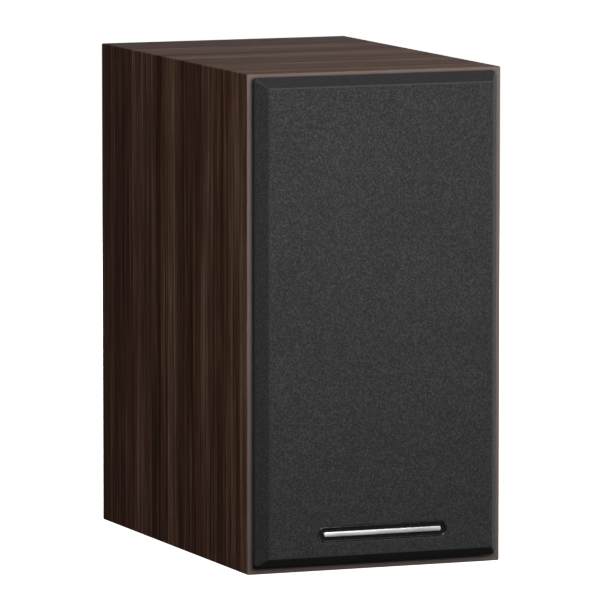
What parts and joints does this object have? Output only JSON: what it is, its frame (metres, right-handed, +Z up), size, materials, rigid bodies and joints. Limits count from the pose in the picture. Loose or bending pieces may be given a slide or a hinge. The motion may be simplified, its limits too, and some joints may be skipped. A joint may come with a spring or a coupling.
{
  "type": "bookshelf speaker",
  "caption": "Two-way bookshelf loudspeaker with a walnut-look cabinet, a bevelled cloth grille that pulls off, a cone woofer, a dome tweeter, a rear port and clamp terminals.",
  "frame": {"origin": "under the middle of the whole speaker, grille included, on the surface that it stands on", "axes": "+Z up, +X to the right as seen from the front, and the front with its grille faces -Y"},
  "size_m": [0.169, 0.273, 0.31],
  "materials": {
    "walnut_wrap": "satin",
    "baffle_board": "satin",
    "rear_board": "matt",
    "wadding": "matt",
    "black_plastic": "satin",
    "grille_board": "matt",
    "grille_fabric": "matt",
    "badge_black": "gloss",
    "badge_silver": "brushed",
    "dome_metal": "satin",
    "soft_fabric": "matt",
    "coil_copper": "enamelled",
    "coil_former": "satin",
    "zinc_steel": "zinc plated",
    "ferrite": "matt",
    "fibre_board": "matt",
    "basket_paint": "satin",
    "surround_rubber": "matt",
    "cone_paper": "matt",
    "spider_cloth": "matt",
    "gasket_foam": "matt",
    "screw_black": "satin",
    "post_brass": "gold plated",
    "red_nylon": "gloss",
    "black_nylon": "gloss",
    "circuit_board": "satin",
    "capacitor_film": "gloss",
    "resistor_ceramic": "matt",
    "wire_red": "satin",
    "wire_black": "satin"
  },
  "bodies": {
    "cabinet": {"left_side_panel": "walnut_wrap", "right_side_panel": "walnut_wrap", "top_panel": "walnut_wrap", "bottom_panel": "walnut_wrap", "front_baffle": "baffle_board", "rear_panel": "rear_board", "side_wadding": "wadding", "top_wadding": "wadding", "grille_sockets": "black_plastic", "tweeter_faceplate": "black_plastic", "tweeter_surround": "soft_fabric", "tweeter_front_plate": "zinc_steel", "tweeter_magnet": "ferrite", "tweeter_yoke": "zinc_steel", "tweeter_terminals": "fibre_board", "woofer_basket": "basket_paint", "woofer_surround": "surround_rubber", "woofer_spider": "spider_cloth", "woofer_front_plate": "zinc_steel", "woofer_magnet": "ferrite", "woofer_yoke": "zinc_steel", "woofer_terminals": "fibre_board", "woofer_tinsel_leads": "coil_copper", "driver_gaskets": "gasket_foam", "driver_screws": "screw_black", "port_tube": "black_plastic", "terminal_cup": "black_plastic", "terminal_gasket": "gasket_foam", "terminal_screws": "screw_black", "post_studs": "post_brass", "red_post_collar": "red_nylon", "black_post_collar": "black_nylon", "post_nuts": "zinc_steel", "solder_lugs": "zinc_steel", "crossover_board": "circuit_board", "crossover_spacers": "black_plastic", "crossover_screws": "zinc_steel", "woofer_inductor": "coil_copper", "tweeter_inductor": "coil_copper", "tweeter_capacitor": "capacitor_film", "crossover_resistor": "resistor_ceramic", "red_wires": "wire_red", "black_wires": "wire_black"},
    "grille": {"grille_frame": "grille_board", "grille_cloth": "grille_fabric", "grille_pegs": "black_plastic", "badge_plate": "badge_black", "badge_bar": "badge_silver"},
    "woofer_diaphragm": {"woofer_cone": "cone_paper", "woofer_dust_cap": "cone_paper", "woofer_coil_former": "coil_former", "woofer_coil_winding": "coil_copper"},
    "tweeter_diaphragm": {"tweeter_dome": "dome_metal", "tweeter_coil_former": "coil_former", "tweeter_coil_winding": "coil_copper"},
    "red_clamp": {"red_clamp_washer": "post_brass"},
    "red_grip": {"red_knob": "red_nylon"},
    "black_clamp": {"black_clamp_washer": "post_brass"},
    "black_grip": {"black_knob": "black_nylon"}
  },
  "joints": [
    {"name": "grille_pull", "type": "slide", "parent": "cabinet", "child": "grille", "axis": [0, -1, 0], "range_m": [0, 0.06]},
    {"name": "woofer_travel", "type": "slide", "parent": "cabinet", "child": "woofer_diaphragm", "axis": [0, -1, 0], "range_m": [-0.004, 0.004], "stiffness_N_per_m": 900, "deforming": ["woofer_surround", "woofer_spider", "woofer_tinsel_leads"]},
    {"name": "tweeter_travel", "type": "slide", "parent": "cabinet", "child": "tweeter_diaphragm", "axis": [0, -1, 0], "range_m": [-0.0004, 0.0004], "stiffness_N_per_m": 2500, "deforming": ["tweeter_surround"]},
    {"name": "red_clamp_travel", "type": "slide", "parent": "cabinet", "child": "red_clamp", "axis": [0, 1, 0], "range_m": [0, 0.004]},
    {"name": "red_knob_turn", "type": "hinge", "parent": "red_clamp", "child": "red_grip", "pos_m": [-0.00953, 0.12255, 0.075], "axis": [0, 1, 0], "range_deg": [0, 1440]},
    {"name": "black_clamp_travel", "type": "slide", "parent": "cabinet", "child": "black_clamp", "axis": [0, 1, 0], "range_m": [0, 0.004]},
    {"name": "black_knob_turn", "type": "hinge", "parent": "black_clamp", "child": "black_grip", "pos_m": [0.00953, 0.12255, 0.075], "axis": [0, 1, 0], "range_deg": [0, 1440]}
  ],
  "couplings": [
    {"joint": "red_knob_turn", "follows": "red_clamp_travel", "rad_per_m": 6283.2},
    {"joint": "black_knob_turn", "follows": "black_clamp_travel", "rad_per_m": 6283.2}
  ]
}
